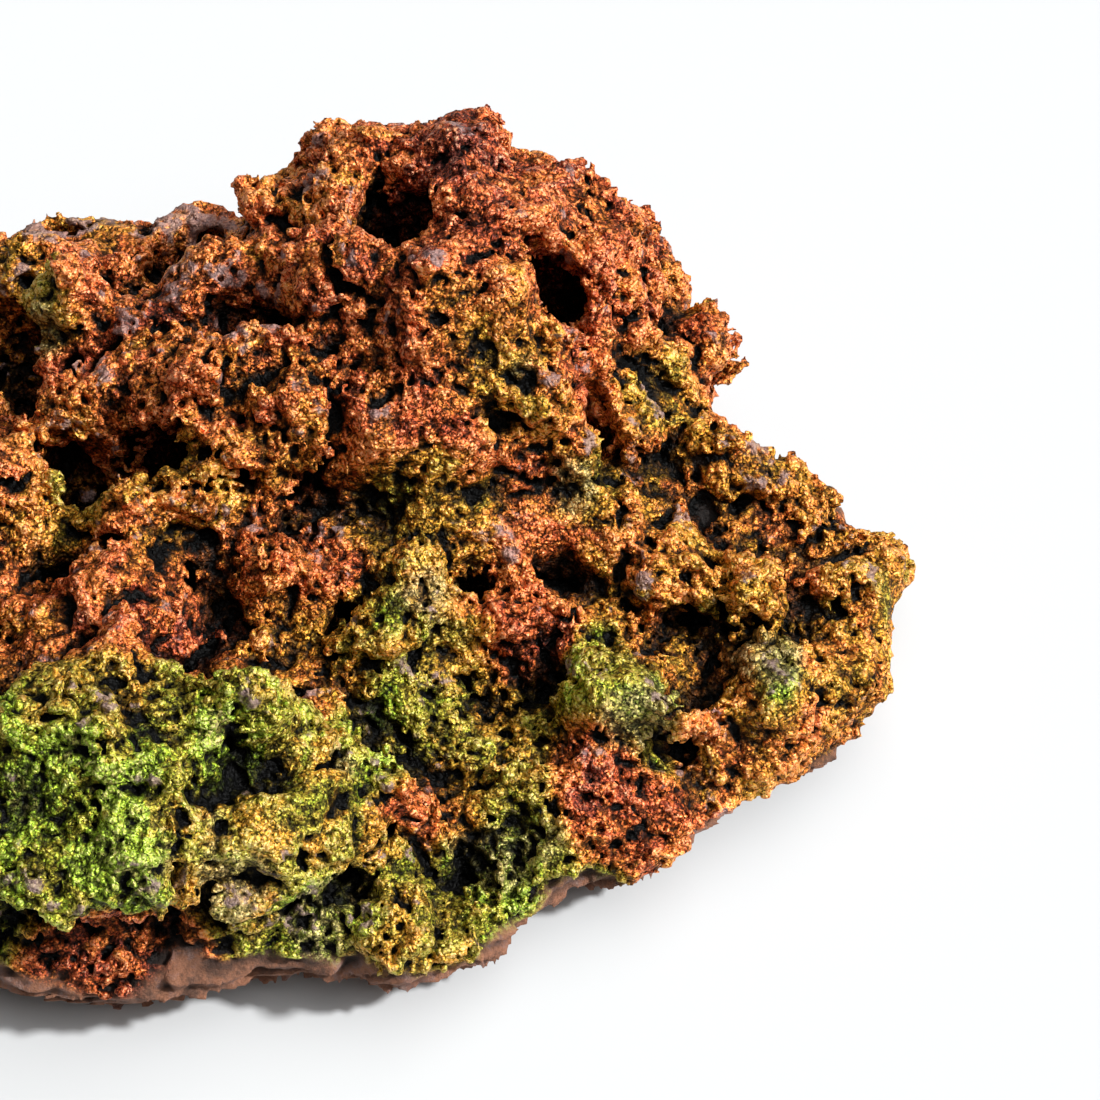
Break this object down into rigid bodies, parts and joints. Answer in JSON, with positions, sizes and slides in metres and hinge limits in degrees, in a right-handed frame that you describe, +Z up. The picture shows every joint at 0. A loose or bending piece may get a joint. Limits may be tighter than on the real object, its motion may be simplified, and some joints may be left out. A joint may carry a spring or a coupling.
{
  "type": "rough goethite specimen",
  "caption": "Rough goethite hand specimen: porous iridescent copper, gold and green crust on a dull brown broken body, lying on its flat side.",
  "frame": {"origin": "on the resting plane, under the middle of the specimen's overall box", "axes": "+X along the length towards the low pointed end, +Y towards the tall mound at the back, +Z up from the flat resting side"},
  "size_m": [0.1108, 0.0802, 0.0372],
  "materials": {
    "goethite_crust": "porous drusy crust with a metallic iridescent tarnish from copper red to gold and green; dull pinkish brown where broken"
  },
  "bodies": {
    "root": {"goethite_specimen": "goethite_crust"}
  },
  "joints": []
}
